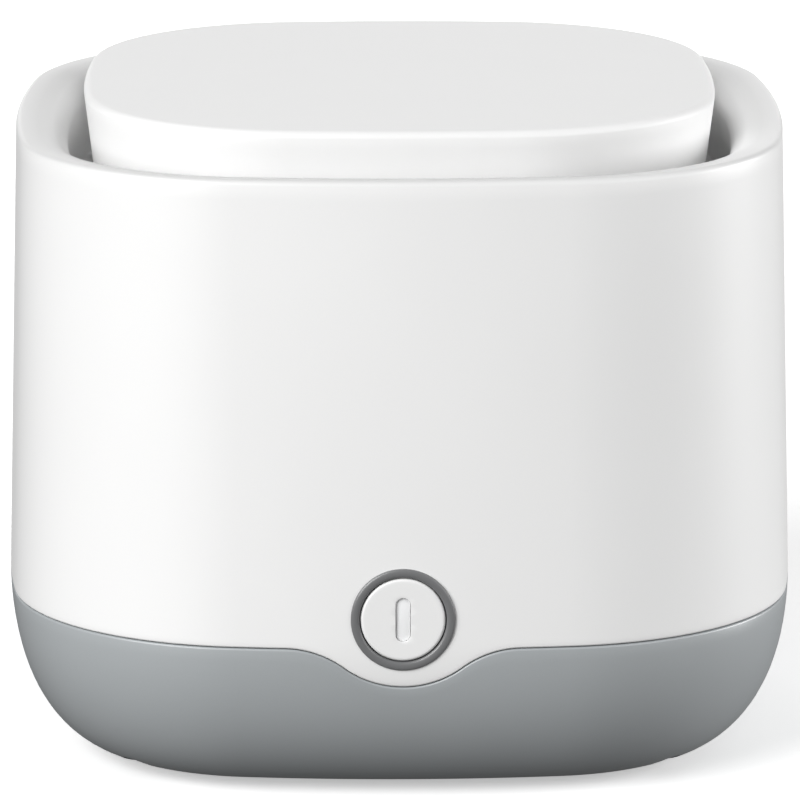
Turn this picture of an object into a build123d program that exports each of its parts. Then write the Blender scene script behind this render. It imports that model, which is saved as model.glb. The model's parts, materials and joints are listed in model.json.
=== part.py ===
from build123d import *
import math
import os

# Ultrasonic retainer cleaner, in millimetres. The origin is at the middle of the base on the
# surface that it stands on, +Z is up, and the button is on the front, towards -Y.

# Outer form, seen from above: four slightly bowed sides joined by four corner arcs
body_width = 120.0
body_depth = 120.0
body_side_r = 210.0
body_corner_r = 38.0
foot_stand = 1.0
seam_z = 24.9
rim_z = 94.6
base_round = 15.5
draft_deg = 1.4
wall = 2.4
floor_t = 2.6

# Seam between the two shells: a lap all round, and a dip below the button
lap_height = 2.2
lap_outer_t = 1.2
lap_gap = 0.1
seam_gap = 0.15
dip_depth = 5.8
dip_half_width = 17.3
seam_spare = 1.0

# Rim, finger dish, slot round the lid and deck that carries it
rim_edge_r = 0.9
dish_land = 1.3
dish_drop = 4.2
slot_inset = 7.8
slot_wall = 2.0
deck_drop = 13.0
deck_t = 2.4
dish_plate_t = 2.2

# Deep-drawn steel tank, its gasket and the bracket that holds it up
tank_inset = 8.7
tank_side_r = 170.0
tank_corner_r = 26.0
tank_deep = 42.0
tank_lean_deg = 2.5
tank_bottom_r = 7.0
tank_t = 0.6
flange_w = 6.0
mouth_set_back = 1.0
gasket_t = 1.0
bracket_t = 2.0
bracket_height = 8.0
bracket_ear_t = 2.4
bracket_gap = 0.5
bracket_ear_w = 9.0
bracket_screw_out = 9.4
bracket_boss_r = 3.0

# Piezo transducer bonded under the tank
piezo_r = 19.0
piezo_t = 3.0

# Lid
lid_side_gap = 2.3
lid_front_gap = 3.3
lid_side_r = 200.0
lid_corner_r = 33.0
lid_rise = 5.65
lid_dome = 0.5
lid_edge_r = 1.3
lid_lean_deg = 7.0
lid_wall = 2.0
lid_top_t = 2.2
lid_foot_gap = 0.6
liner_plate_t = 1.8
liner_gap = 0.15
plug_gap = 1.2
plug_deep = 5.6
plug_wall = 1.6
seal_t = 1.8
seal_width = 2.6
seal_set_in = 0.15
liner_post_r = 2.5
liner_post_in = 18.0

# Retainer basket
basket_inset = 5.5
basket_side_r = 150.0
basket_corner_r = 20.0
basket_wall = 1.6
basket_height = 28.0
basket_foot_h = 2.5
basket_foot_r = 2.5
basket_foot_in = 12.0
basket_rim_w = 1.8
basket_rim_t = 1.6
basket_slot_w = 3.0
basket_slot_pitch = 6.6
basket_slot_end = 5.0
basket_side_slots = 6
basket_floor_slots = 8
basket_floor_slot_length = 40.0
grip_width = 22.0
grip_height = 9.0
grip_t = 1.8
grip_corner_r = 3.0
grip_hole_w = 13.0
grip_hole_h = 4.2

# Button, its trim ring and light window
button_z = 29.4
ring_r = 7.7
ring_proud = 0.25
ring_edge_r = 0.35
ring_flange_t = 1.0
ring_tube_r = 7.0
ring_bore_r = 6.4
ring_tube_length = 3.6
button_gap = 0.15
button_recess = 0.2
button_edge_r = 0.5
button_wall = 1.2
button_flange_r = 7.4
button_flange_t = 1.0
button_stop_gap = 0.1
button_travel = 0.5
pill_width = 2.1
pill_height = 6.6
pill_recess = 0.35
pill_deep = 2.0
button_stem_r = 2.0
button_stem_length = 1.2

# Button board behind the button, with its switch and two light sources
switch_side = 6.0
switch_t = 3.4
switch_corner_r = 0.6
switch_pocket = 1.7
plunger_r = 1.7
plunger_proud = 0.9
plunger_gap = 0.1
plunger_end_gap = 0.2
button_board_width = 30.0
button_board_height = 15.0
button_board_corner_r = 1.5
board_t = 1.6
button_post_r = 2.6
button_post_out = 11.8
lamp_side = 2.0
lamp_t = 0.8
lamp_out = 5.2

# Screws: shank radius, head radius and head height of the two sizes used
case_screw = (1.5, 2.8, 2.0)
small_screw = (1.1, 2.1, 1.4)
screw_bevel = 0.4
screw_gap = 0.15
pilot_gap = 0.02
pilot_spare = 0.6

# Base: case screws, feet, board posts and power inlet
case_screw_in = 21.0
case_tube_r = 4.0
case_column_r = 3.5
case_joint_z = 27.0
case_seat_z = 16.0
case_screw_length = 20.0
foot_in = 29.0
foot_r = 6.0
foot_seat = 1.0
foot_gap = 0.1
foot_bevel = 0.5
post_r = 2.8
post_height = 6.4
board_width = 76.0
board_depth = 58.0
board_y = 2.0
board_hole_in = 4.0
board_corner_r = 2.0
small_screw_length = 6.0
inlet_z = 14.0
inlet_pad_r = 8.0
inlet_pad_in = 6.5
inlet_nut_r = 5.6
inlet_nut_t = 2.0
inlet_nose_proud = 2.5
inlet_nose_r = 3.9
inlet_bore_r = 2.85
inlet_pin_r = 1.0
inlet_deep = 9.0
inlet_block = 10.0
inlet_block_length = 12.0
inlet_block_corner_r = 1.0
inlet_pin_back = 0.8
inlet_pin_bevel = 0.4
inlet_gap = 0.1

# Driver parts on the main board
core_size = (20.0, 11.0, 16.0)
core_from_left = 18.0
core_from_rear = 23.0
core_corner_r = 1.0
bobbin_size = (13.0, 17.0, 11.0)
bobbin_corner_r = 2.5
cap_sizes = ((5.0, 16.0), (4.0, 12.0))
cap_from_rear = (11.0, 10.0)
cap_from_middle = (22.0, 9.0)
cap_bevel = 0.5
sink_size = (26.0, 3.0, 15.0)
sink_from_right = 19.0
sink_from_front = 15.0
fin_count = 5
fin_t = 1.2
fin_deep = 4.0
transistor_size = (10.0, 4.4, 14.0)
transistor_out = 6.4
plug_size = (8.0, 6.0, 6.5)
plug_from_front = 8.0
plug_from_rear = 6.0
piezo_plug_from_left = 13.0

# Insulated leads, two side by side
lead_r = 0.65
lead_apart = 2.6
lead_up = 2.5
button_lead_bend = 3.0
piezo_lead_bend = 2.5
piezo_lead_rise = 7.0
piezo_lead_at = (-10.0, -7.0)
inlet_lead_bend = 2.0
inlet_lead_rise = 6.0
inlet_lead_reach = 4.5

# Widths and depths of what nests in the shell, from the slot inwards
rim_inset = (rim_z - seam_z) * math.tan(math.radians(draft_deg))
lid_width = body_width - 2 * (rim_inset + slot_inset + lid_side_gap)
lid_depth = body_depth - 2 * (rim_inset + slot_inset + lid_front_gap)
tank_width = lid_width - 2 * tank_inset
tank_depth = lid_depth - 2 * tank_inset
basket_width = tank_width - 2 * basket_inset
basket_depth = tank_depth - 2 * basket_inset

# Levels and depths that follow from the sizes above
deck_z = rim_z - deck_drop
deck_under = deck_z - deck_t
flange_top = deck_under - gasket_t
tank_floor_z = flange_top - tank_deep
tank_under = tank_floor_z - tank_t
piezo_under = tank_under - piezo_t
lid_top_z = rim_z + lid_rise
lid_foot_z = deck_z + lid_foot_gap
liner_z = deck_z + seal_t
board_z = foot_stand + floor_t + post_height
board_top = board_z + board_t
board_left = -board_width / 2
board_right = board_width / 2
board_front = board_y - board_depth / 2
board_rear = board_y + board_depth / 2
plug_top = board_top + plug_size[2]
bracket_high = flange_top - tank_t
bracket_low = bracket_high - bracket_height
front_y = -body_depth / 2
rear_y = body_depth / 2
inlet_face_y = rear_y - inlet_pad_in
inlet_inner_y = inlet_face_y - wall
inlet_back = inlet_inner_y - inlet_block_length
inlet_nose_end = inlet_face_y + inlet_nose_proud
ring_front = front_y - ring_proud
ring_seat = ring_front + ring_flange_t
ring_back = ring_seat + ring_tube_length
button_front = ring_front + button_recess
flange_front = ring_back + button_stop_gap
flange_back = flange_front + button_flange_t
plunger_front = flange_back + button_stem_length
switch_front = plunger_front + plunger_proud
button_board_front = switch_front + switch_t
button_board_back = button_board_front + board_t


def draft_in(z):
    """How far the drafted wall has moved in at a height above the seam."""
    return max(z - seam_z, 0.0) * math.tan(math.radians(draft_deg))


def outline(width, depth, side_r, corner_r, z=0.0, inset=0.0):
    """Face of four bowed sides and four tangent corner arcs, moved in by inset."""
    half_w = width / 2 - inset
    half_d = depth / 2 - inset
    side = side_r - inset
    corner = corner_r - inset
    front = Vector(0, side - half_d)
    right = Vector(half_w - side, 0)
    chord = right - front
    lift = math.sqrt((side - corner) ** 2 - (chord.length / 2) ** 2)
    across = Vector(-chord.Y, chord.X).normalized()
    centre = (front + right) / 2 + across * lift
    start = front + (centre - front).normalized() * side
    end = right + (centre - right).normalized() * side
    bend = ((start - centre) + (end - centre)).normalized() * corner + centre

    def flip(point, sx, sy):
        return (point.X * sx, point.Y * sy)

    edges = [
        ThreePointArc(flip(start, -1, 1), (0, -half_d), flip(start, 1, 1)),
        ThreePointArc(flip(start, 1, 1), flip(bend, 1, 1), flip(end, 1, 1)),
        ThreePointArc(flip(end, 1, 1), (half_w, 0), flip(end, 1, -1)),
        ThreePointArc(flip(end, 1, -1), flip(bend, 1, -1), flip(start, 1, -1)),
        ThreePointArc(flip(start, 1, -1), (0, half_d), flip(start, -1, -1)),
        ThreePointArc(flip(start, -1, -1), flip(bend, -1, -1), flip(end, -1, -1)),
        ThreePointArc(flip(end, -1, -1), (-half_w, 0), flip(end, -1, 1)),
        ThreePointArc(flip(end, -1, 1), flip(bend, -1, 1), flip(start, -1, 1)),
    ]
    return Pos(0, 0, z) * make_face(edges)


def body_outline(z, inset=0.0):
    return outline(body_width, body_depth, body_side_r, body_corner_r, z, inset)


def tank_outline(z, inset=0.0):
    return outline(tank_width, tank_depth, tank_side_r, tank_corner_r, z, inset)


def lid_outline(z, inset=0.0):
    return outline(lid_width, lid_depth, lid_side_r, lid_corner_r, z, inset)


def basket_outline(z, inset=0.0):
    return outline(basket_width, basket_depth, basket_side_r, basket_corner_r, z, inset)


def bowl(inset, bottom_z):
    """Rounded lower form up to the seam, moved in by inset, as a quarter ellipse."""
    steps = 8
    sections = []
    for step in range(steps + 1):
        turn = math.radians(90 * step / steps)
        z = seam_z - (seam_z - bottom_z) * math.cos(turn)
        sections.append(body_outline(z, inset + base_round * (1 - math.sin(turn))))
    return loft(sections)


def tower(inset, low_z, high_z):
    """Drafted upper form between two heights, moved in by inset."""
    low = body_outline(low_z, inset + draft_in(low_z))
    high = body_outline(high_z, inset + draft_in(high_z))
    return loft([low, high], ruled=True)


def well(section, low_z, high_z):
    """Upright prism from an outline function at one inset."""
    return extrude(section(low_z), high_z - low_z)


def rim_section(inset):
    return lambda z: body_outline(z, inset + draft_in(rim_z))


def tank_section(inset):
    return lambda z: tank_outline(z, inset)


def lid_section(inset):
    return lambda z: lid_outline(z, inset)


def basket_section(inset):
    return lambda z: basket_outline(z, inset)


def cylinder_y(radius, low_y, high_y, x=0.0, z=0.0):
    """Cylinder along Y between two depths."""
    length = high_y - low_y
    return Pos(x, (low_y + high_y) / 2, z) * Rot(90, 0, 0) * Cylinder(radius, length)


def cylinder_z(radius, low_z, high_z, x=0.0, y=0.0):
    """Cylinder along Z between two heights."""
    return Pos(x, y, (low_z + high_z) / 2) * Cylinder(radius, high_z - low_z)


def block(size, x, y, low_z):
    """Upright box that stands on a height."""
    return Pos(x, y, low_z + size[2] / 2) * Box(*size)


def corners(width, depth, inset):
    """The four corner points of a rectangle, moved in by inset."""
    out_x = width / 2 - inset
    out_y = depth / 2 - inset
    return [(sx * out_x, sy * out_y) for sx in (-1, 1) for sy in (-1, 1)]


def case_points():
    return corners(body_width, body_depth, case_screw_in)


def foot_points():
    return corners(body_width, body_depth, foot_in)


def board_points():
    return [(x, y + board_y) for x, y in corners(board_width, board_depth, board_hole_in)]


def union(shapes):
    return Part() + list(shapes)


def dip(drop):
    """Prism above the seam's dip at the front: an S-curve down, round the button and up again."""
    turn = 2 * math.atan2(dip_depth, dip_half_width)
    arc_r = dip_depth / (1 - math.cos(turn)) / 2
    side = arc_r * math.sin(turn / 2)
    sink = arc_r * (1 - math.cos(turn / 2))
    top = seam_z - drop
    middle = (dip_half_width / 2, -dip_depth / 2)
    shoulder = (dip_half_width - side, -sink)
    belly = (side, sink - dip_depth)
    lowest = (0, -dip_depth)
    end = (dip_half_width, 0)
    over = (dip_half_width, drop + seam_spare)

    def at(point, way):
        return (way * point[0], top + point[1])

    edges = [
        ThreePointArc(at(end, -1), at(shoulder, -1), at(middle, -1)),
        ThreePointArc(at(middle, -1), at(belly, -1), at(lowest, -1)),
        ThreePointArc(at(lowest, 1), at(belly, 1), at(middle, 1)),
        ThreePointArc(at(middle, 1), at(shoulder, 1), at(end, 1)),
        Line(at(end, 1), at(over, 1)),
        Line(at(over, 1), at(over, -1)),
        Line(at(over, -1), at(end, -1)),
    ]
    face = Plane.XZ * make_face(edges)
    return Pos(0, front_y / 2, 0) * extrude(face, -front_y)


def below_seam(drop):
    """Everything within a drop below the seam, dip included."""
    slab = (2 * body_width, 2 * body_depth, drop + seam_spare)
    return block(slab, 0, 0, seam_z - drop) + dip(drop)


def edges_at(shape, z):
    """Edges that lie wholly at one height."""
    near = 1e-4
    found = []
    for edge in shape.edges():
        box = edge.bounding_box()
        if abs(box.min.Z - z) < near and abs(box.max.Z - z) < near:
            found.append(edge)
    return found


def make_dish():
    """Rim that rolls over into the slot: a quarter ellipse in section."""
    steps = 5
    sections = []
    for step in range(steps + 1):
        turn = math.radians(90 * step / steps)
        inset = slot_inset - (slot_inset - dish_land) * (1 - math.cos(turn))
        sections.append(rim_section(inset)(rim_z - dish_drop * (1 - math.sin(turn))))
    return loft(sections)


def make_upper_shell():
    shell = tower(0, seam_z, rim_z)
    shell = fillet(edges_at(shell, rim_z), rim_edge_r)
    slot = well(rim_section(slot_inset), deck_z, rim_z)
    hollow = tower(wall, seam_z, deck_under)
    pocket_top = rim_z - dish_drop - dish_plate_t
    pocket = tower(wall, deck_under, pocket_top)
    pocket -= well(rim_section(slot_inset - slot_wall), deck_under, pocket_top)
    mouth = well(tank_section(-mouth_set_back), deck_under, deck_z)
    shell = shell - make_dish() - slot - hollow - pocket - mouth
    skin = bowl(0, foot_stand)
    inside = bowl(wall, foot_stand + floor_t)
    front = (skin - inside) & dip(0)
    lap_in = lap_outer_t + lap_gap
    tongue = (bowl(lap_in, foot_stand + lap_in) - inside) & below_seam(lap_height)
    shell = shell + front + tongue
    solids = []
    holes = []
    for x, y in case_points():
        solids.append(cylinder_z(case_column_r, case_joint_z, deck_z - deck_t / 2, x, y))
        pilot_top = case_seat_z + case_screw_length + pilot_spare
        holes.append(cylinder_z(case_screw[0] + pilot_gap, case_joint_z, pilot_top, x, y))
    for x, y in bracket_points():
        low = bracket_low + bracket_ear_t
        solids.append(cylinder_z(bracket_boss_r, low, deck_z - deck_t / 2, x, y))
        holes.append(cylinder_z(small_screw[0] + pilot_gap, low, deck_under - pilot_spare, x, y))
    for side in (-1, 1):
        x = side * button_post_out
        solids.append(cylinder_y(button_post_r, front_y + wall / 2, button_board_front, x, button_z))
        reach = button_board_back - small_screw_length - pilot_spare
        holes.append(cylinder_y(small_screw[0] + pilot_gap, reach, button_board_front, x, button_z))
    holes.append(cylinder_y(ring_tube_r + button_gap, front_y - wall, front_y + 2 * wall, 0, button_z))
    holes.append(cylinder_y(ring_r + button_gap, front_y - wall, ring_seat, 0, button_z))
    return shell + solids - holes


def bracket_points():
    """Places of the four tank bracket screws: the middle of each side."""
    out_x = tank_width / 2 + bracket_screw_out
    out_y = tank_depth / 2 + bracket_screw_out
    return [(-out_x, 0), (out_x, 0), (0, -out_y), (0, out_y)]


def make_base_shell():
    skin = bowl(0, foot_stand)
    shell = skin - bowl(wall, foot_stand + floor_t) - below_seam(seam_gap)
    shell -= bowl(lap_outer_t, foot_stand + lap_outer_t) & below_seam(lap_height + seam_gap)
    mid_floor_z = foot_stand + floor_t / 2
    solids = [cylinder_z(case_tube_r, mid_floor_z, case_joint_z, x, y) for x, y in case_points()]
    solids += [cylinder_z(post_r, mid_floor_z, board_z, x, y) for x, y in board_points()]
    boss = cylinder_y(inlet_pad_r + wall, inlet_inner_y, rear_y, 0, inlet_z) & skin
    solids.append(boss - below_seam(lap_height + seam_gap))
    holes = []
    for x, y in case_points():
        holes.append(cylinder_z(case_screw[1] + screw_gap, 0, case_seat_z, x, y))
        holes.append(cylinder_z(case_screw[0] + screw_gap, 0, case_joint_z, x, y))
    for x, y in board_points():
        pilot_low = board_top - small_screw_length - pilot_spare
        holes.append(cylinder_z(small_screw[0] + pilot_gap, pilot_low, board_z, x, y))
    for x, y in foot_points():
        holes.append(cylinder_z(foot_r + foot_gap, 0, foot_stand + foot_seat, x, y))
    holes.append(cylinder_y(inlet_pad_r, inlet_face_y, rear_y, 0, inlet_z))
    holes.append(cylinder_y(inlet_nose_r + inlet_gap, inlet_back, rear_y, 0, inlet_z))
    return shell + solids - holes


def lid_lean(z):
    """How far the lid wall has leaned in at a height."""
    return (lid_top_z - z) * math.tan(math.radians(lid_lean_deg))


def lid_body(inset, low_z, high_z):
    low = lid_outline(low_z, inset + lid_lean(low_z))
    high = lid_outline(high_z, inset + lid_lean(high_z))
    return loft([low, high], ruled=True)


def make_lid():
    body = lid_body(0, lid_foot_z, lid_top_z)
    dome_r = (lid_width / 2) ** 2 / (2 * lid_dome)
    dome = Pos(0, 0, lid_top_z - dome_r) * Sphere(dome_r)
    body &= dome
    top_edges = body.faces().sort_by(Axis.Z)[-1].edges()
    body = fillet(top_edges, lid_edge_r)
    body -= lid_body(lid_wall, lid_foot_z, lid_top_z - lid_top_t)
    posts = []
    for x, y in corners(lid_width, lid_depth, liner_post_in):
        posts.append(cylinder_z(liner_post_r, liner_z + liner_plate_t, lid_top_z - lid_top_t, x, y))
    return body + posts


def liner_inset():
    """How far the liner's edge lies inside the lid's top edge."""
    return lid_lean(lid_foot_z) + lid_wall + liner_gap


def make_liner():
    plate = well(lid_section(liner_inset()), liner_z, liner_z + liner_plate_t)
    skirt = well(tank_section(plug_gap), liner_z - plug_deep, liner_z)
    skirt -= well(tank_section(plug_gap + plug_wall), liner_z - plug_deep, liner_z)
    return plate + skirt


def make_seal():
    inset = liner_inset() + seal_set_in
    inner = well(lid_section(inset + seal_width), deck_z, liner_z)
    return well(lid_section(inset), deck_z, liner_z) - inner


def ring_of(outer_inset, inner_inset, low_z, high_z):
    """Flat ring that follows the tank's outline."""
    return well(tank_section(outer_inset), low_z, high_z) - well(tank_section(inner_inset), low_z, high_z)


def make_tank():
    lean = tank_deep * math.tan(math.radians(tank_lean_deg))
    outer = loft([tank_outline(tank_under, lean - tank_t), tank_outline(flange_top, -tank_t)], ruled=True)
    outer = fillet(edges_at(outer, tank_under), tank_bottom_r + tank_t)
    inner = loft([tank_outline(tank_floor_z, lean), tank_outline(flange_top, 0)], ruled=True)
    inner = fillet(edges_at(inner, tank_floor_z), tank_bottom_r)
    flange = well(tank_section(-flange_w), flange_top - tank_t, flange_top)
    return outer + flange - inner


def make_bracket():
    inner = tank_t + bracket_gap
    body = ring_of(-inner - bracket_t, -inner, bracket_low, bracket_high)
    for x, y in bracket_points():
        reach = bracket_screw_out + bracket_boss_r - inner
        along = bracket_screw_out + bracket_boss_r - reach / 2 - bracket_screw_out
        size = (reach, bracket_ear_w, bracket_ear_t) if y == 0 else (bracket_ear_w, reach, bracket_ear_t)
        way_x = (x > 0) - (x < 0)
        way_y = (y > 0) - (y < 0)
        body += block(size, x + way_x * along, y + way_y * along, bracket_low)
    body -= well(tank_section(-inner), bracket_low, bracket_high)
    hole_r = small_screw[0] + screw_gap
    return body - [cylinder_z(hole_r, bracket_low, bracket_high, x, y) for x, y in bracket_points()]


def make_basket():
    low = tank_floor_z + basket_foot_h
    high = low + basket_height
    body = well(basket_section(0), low, high)
    body += well(basket_section(-basket_rim_w), high - basket_rim_t, high)
    body -= well(basket_section(basket_wall), low + basket_wall, high)
    cuts = []
    slot_low = low + basket_wall + basket_slot_end
    slot_high = high - basket_rim_t - basket_slot_end / 2
    for row in range(basket_side_slots):
        place = (row - (basket_side_slots - 1) / 2) * basket_slot_pitch
        cuts.append(block((basket_slot_w, 2 * basket_depth, slot_high - slot_low), place, 0, slot_low))
        cuts.append(block((2 * basket_width, basket_slot_w, slot_high - slot_low), 0, place, slot_low))
    for row in range(basket_floor_slots):
        place = (row - (basket_floor_slots - 1) / 2) * basket_slot_pitch
        face = Pos(place, 0, low) * SlotOverall(basket_floor_slot_length, basket_slot_w, rotation=90)
        cuts.append(extrude(face, basket_wall))
    body -= cuts
    for side in (-1, 1):
        x = side * (basket_width / 2 - grip_t / 2)
        middle = Pos(0, high + grip_height / 2)
        plate = Plane.YZ * (middle * RectangleRounded(grip_width, grip_height, grip_corner_r))
        grip = Pos(x - grip_t / 2, 0, 0) * extrude(plate, grip_t)
        grip += block((grip_t, grip_width, grip_height / 2), x, 0, high - basket_rim_t)
        hole = Plane.YZ * (middle * SlotOverall(grip_hole_w, grip_hole_h))
        grip -= Pos(x - grip_t, 0, 0) * extrude(hole, 2 * grip_t)
        body += grip
    feet = corners(basket_width, basket_depth, basket_foot_in)
    return body + [cylinder_z(basket_foot_r, tank_floor_z, low, x, y) for x, y in feet]


def make_ring():
    body = cylinder_y(ring_r, ring_front, ring_seat, 0, button_z)
    body = fillet(body.edges().filter_by(GeomType.CIRCLE).sort_by(Axis.Y)[0], ring_edge_r)
    body += cylinder_y(ring_tube_r, ring_seat, ring_back, 0, button_z)
    return body - cylinder_y(ring_bore_r, ring_front, ring_back, 0, button_z)


def pill(front_at, length):
    """Upright pill-shaped prism behind a depth."""
    face = Plane.XZ * (Pos(0, button_z) * SlotOverall(pill_height, pill_width, rotation=90))
    return Pos(0, front_at + length, 0) * extrude(face, length)


def make_button():
    cap_r = ring_bore_r - button_gap
    disc_t = pill_recess + pill_deep
    body = cylinder_y(cap_r, button_front, flange_back, 0, button_z)
    body = fillet(body.edges().filter_by(GeomType.CIRCLE).sort_by(Axis.Y)[0], button_edge_r)
    body += cylinder_y(button_flange_r, flange_front, flange_back, 0, button_z)
    body -= cylinder_y(cap_r - button_wall, button_front + disc_t, flange_back, 0, button_z)
    body += cylinder_y(button_stem_r, button_front + disc_t, plunger_front, 0, button_z)
    return body - pill(button_front, disc_t)


def make_screw(sizes, length):
    """Pan-head screw that points up, with the head's seat at the origin."""
    shank_r, head_r, head_h = sizes
    head = cylinder_z(head_r, -head_h, 0)
    head = chamfer(head.edges().group_by(Axis.Z)[0], screw_bevel)
    return head + cylinder_z(shank_r, 0, length)


def make_foot(x, y):
    body = cylinder_z(foot_r, 0, foot_stand + foot_seat)
    return Pos(x, y, 0) * chamfer(body.edges().group_by(Axis.Z)[0], foot_bevel)


def lead(points, bend):
    """Round wire along rounded corners."""
    path = FilletPolyline(*points, radius=bend)
    start = Plane(origin=path @ 0, z_dir=path % 0)
    return sweep(start * Circle(lead_r), path)


def lead_pair(points, bend):
    """Two wires side by side."""
    half = lead_apart / 2
    return union(lead([(x + way * half, y, z) for x, y, z in points], bend) for way in (-1, 1))


def make_main_board():
    body = block((board_width, board_depth, board_t), 0, board_y, board_z)
    body = fillet(body.edges().filter_by(Axis.Z), board_corner_r)
    hole_r = small_screw[0] + screw_gap
    return body - [cylinder_z(hole_r, board_z, board_top, x, y) for x, y in board_points()]


def make_inductor():
    x = board_left + core_from_left
    y = board_rear - core_from_rear
    core = fillet(block(core_size, x, y, board_top).edges().filter_by(Axis.Z), core_corner_r)
    winding = block(bobbin_size, x, y, board_top + (core_size[2] - bobbin_size[2]) / 2)
    return core + fillet(winding.edges().filter_by(Axis.X), bobbin_corner_r)


def make_capacitors():
    bodies = []
    for (radius, height), x, from_rear in zip(cap_sizes, cap_from_middle, cap_from_rear):
        y = board_rear - from_rear
        body = cylinder_z(radius, board_top, board_top + height, x, y)
        bodies.append(chamfer(body.edges().group_by(Axis.Z)[-1], cap_bevel))
    return union(bodies)


def make_sink():
    x = board_right - sink_from_right
    y = board_front + sink_from_front
    body = block(sink_size, x, y, board_top)
    pitch = (sink_size[0] - fin_t) / (fin_count - 1)
    fin = (fin_t, fin_deep, sink_size[2])
    fin_y = y + (sink_size[1] + fin_deep) / 2
    for row in range(fin_count):
        body += block(fin, x + (row - (fin_count - 1) / 2) * pitch, fin_y, board_top)
    return body


def make_transistors():
    x = board_right - sink_from_right
    y = board_front + sink_from_front - (sink_size[1] + transistor_size[1]) / 2
    places = [x + side * transistor_out for side in (-1, 1)]
    return union(block(transistor_size, place, y, board_top) for place in places)


def make_button_board():
    y = (button_board_front + button_board_back) / 2
    body = Pos(0, y, button_z) * Box(button_board_width, board_t, button_board_height)
    body = fillet(body.edges().filter_by(Axis.Y), button_board_corner_r)
    hole_r = small_screw[0] + screw_gap
    for side in (-1, 1):
        body -= cylinder_y(hole_r, button_board_front, button_board_back, side * button_post_out, button_z)
    return body


def make_switch():
    y = (switch_front + button_board_front) / 2
    body = Pos(0, y, button_z) * Box(switch_side, switch_t, switch_side)
    body = fillet(body.edges().filter_by(Axis.Y), switch_corner_r)
    pocket_end = switch_front + switch_pocket
    return body - cylinder_y(plunger_r + plunger_gap, switch_front, pocket_end, 0, button_z)


def make_lamps():
    y = button_board_front - lamp_t / 2
    lamp = Box(lamp_side, lamp_t, lamp_side)
    return union(Pos(side * lamp_out, y, button_z) * lamp for side in (-1, 1))


def make_inlet():
    y = (inlet_back + inlet_inner_y) / 2
    body = Pos(0, y, inlet_z) * Box(inlet_block, inlet_block_length, inlet_block)
    body = fillet(body.edges().filter_by(Axis.Y), inlet_block_corner_r)
    body += cylinder_y(inlet_nose_r, inlet_inner_y, inlet_nose_end, 0, inlet_z)
    return body - cylinder_y(inlet_bore_r, inlet_nose_end - inlet_deep, inlet_nose_end, 0, inlet_z)


def make_inlet_pin():
    low = inlet_nose_end - inlet_deep
    body = cylinder_y(inlet_pin_r, low, inlet_nose_end - inlet_pin_back, 0, inlet_z)
    return chamfer(body.edges().filter_by(GeomType.CIRCLE).sort_by(Axis.Y)[-1], inlet_pin_bevel)


def make_inlet_nut():
    face = Plane.XZ * (Pos(0, inlet_z) * RegularPolygon(inlet_nut_r, 6))
    nut_end = inlet_face_y + inlet_nut_t
    body = Pos(0, nut_end, 0) * extrude(face, inlet_nut_t)
    return body - cylinder_y(inlet_nose_r + pilot_gap, inlet_face_y, nut_end, 0, inlet_z)


def make_plunger():
    length = plunger_proud + switch_pocket - button_travel - plunger_end_gap
    return cylinder_y(plunger_r, plunger_front, plunger_front + length, 0, button_z)


def make_button_screws():
    """Two screws that hold the button board, driven from behind."""
    screw = Rot(90, 0, 0) * make_screw(small_screw, small_screw_length)
    return union(Pos(side * button_post_out, button_board_back, button_z) * screw for side in (-1, 1))


def make_leads():
    """Lead pairs from the main board to the button board, the transducer and the inlet."""
    front_plug_y = board_front + plug_from_front
    piezo_plug_x = board_left + piezo_plug_from_left
    rear_plug_y = board_rear - plug_from_rear
    button_lead_z = button_z - button_board_height / 2 + lead_up
    piezo_x, piezo_y = piezo_lead_at
    inlet_turn_y = inlet_back - inlet_lead_reach
    button_route = [
        (0, button_board_back, button_lead_z),
        (0, front_plug_y, button_lead_z),
        (0, front_plug_y, plug_top),
    ]
    piezo_route = [
        (piezo_plug_x, front_plug_y, plug_top),
        (piezo_plug_x, front_plug_y, plug_top + piezo_lead_rise),
        (piezo_x, piezo_y, plug_top + piezo_lead_rise),
        (piezo_x, piezo_y, piezo_under),
    ]
    inlet_route = [
        (0, inlet_back, inlet_z),
        (0, inlet_turn_y, inlet_z),
        (0, inlet_turn_y, plug_top + inlet_lead_rise),
        (0, rear_plug_y, plug_top + inlet_lead_rise),
        (0, rear_plug_y, plug_top),
    ]
    return {
        "button_leads": lead_pair(button_route, button_lead_bend),
        "transducer_leads": lead_pair(piezo_route, piezo_lead_bend),
        "inlet_leads": lead_pair(inlet_route, inlet_lead_bend),
    }


def make_connectors():
    front_plug_y = board_front + plug_from_front
    places = [
        (0, front_plug_y),
        (board_left + piezo_plug_from_left, front_plug_y),
        (0, board_rear - plug_from_rear),
    ]
    return union(block(plug_size, x, y, board_top) for x, y in places)


case_screw_solid = make_screw(case_screw, case_screw_length)
bracket_screw_solid = make_screw(small_screw, bracket_height)
board_screw_solid = Rot(180, 0, 0) * make_screw(small_screw, small_screw_length)

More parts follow.
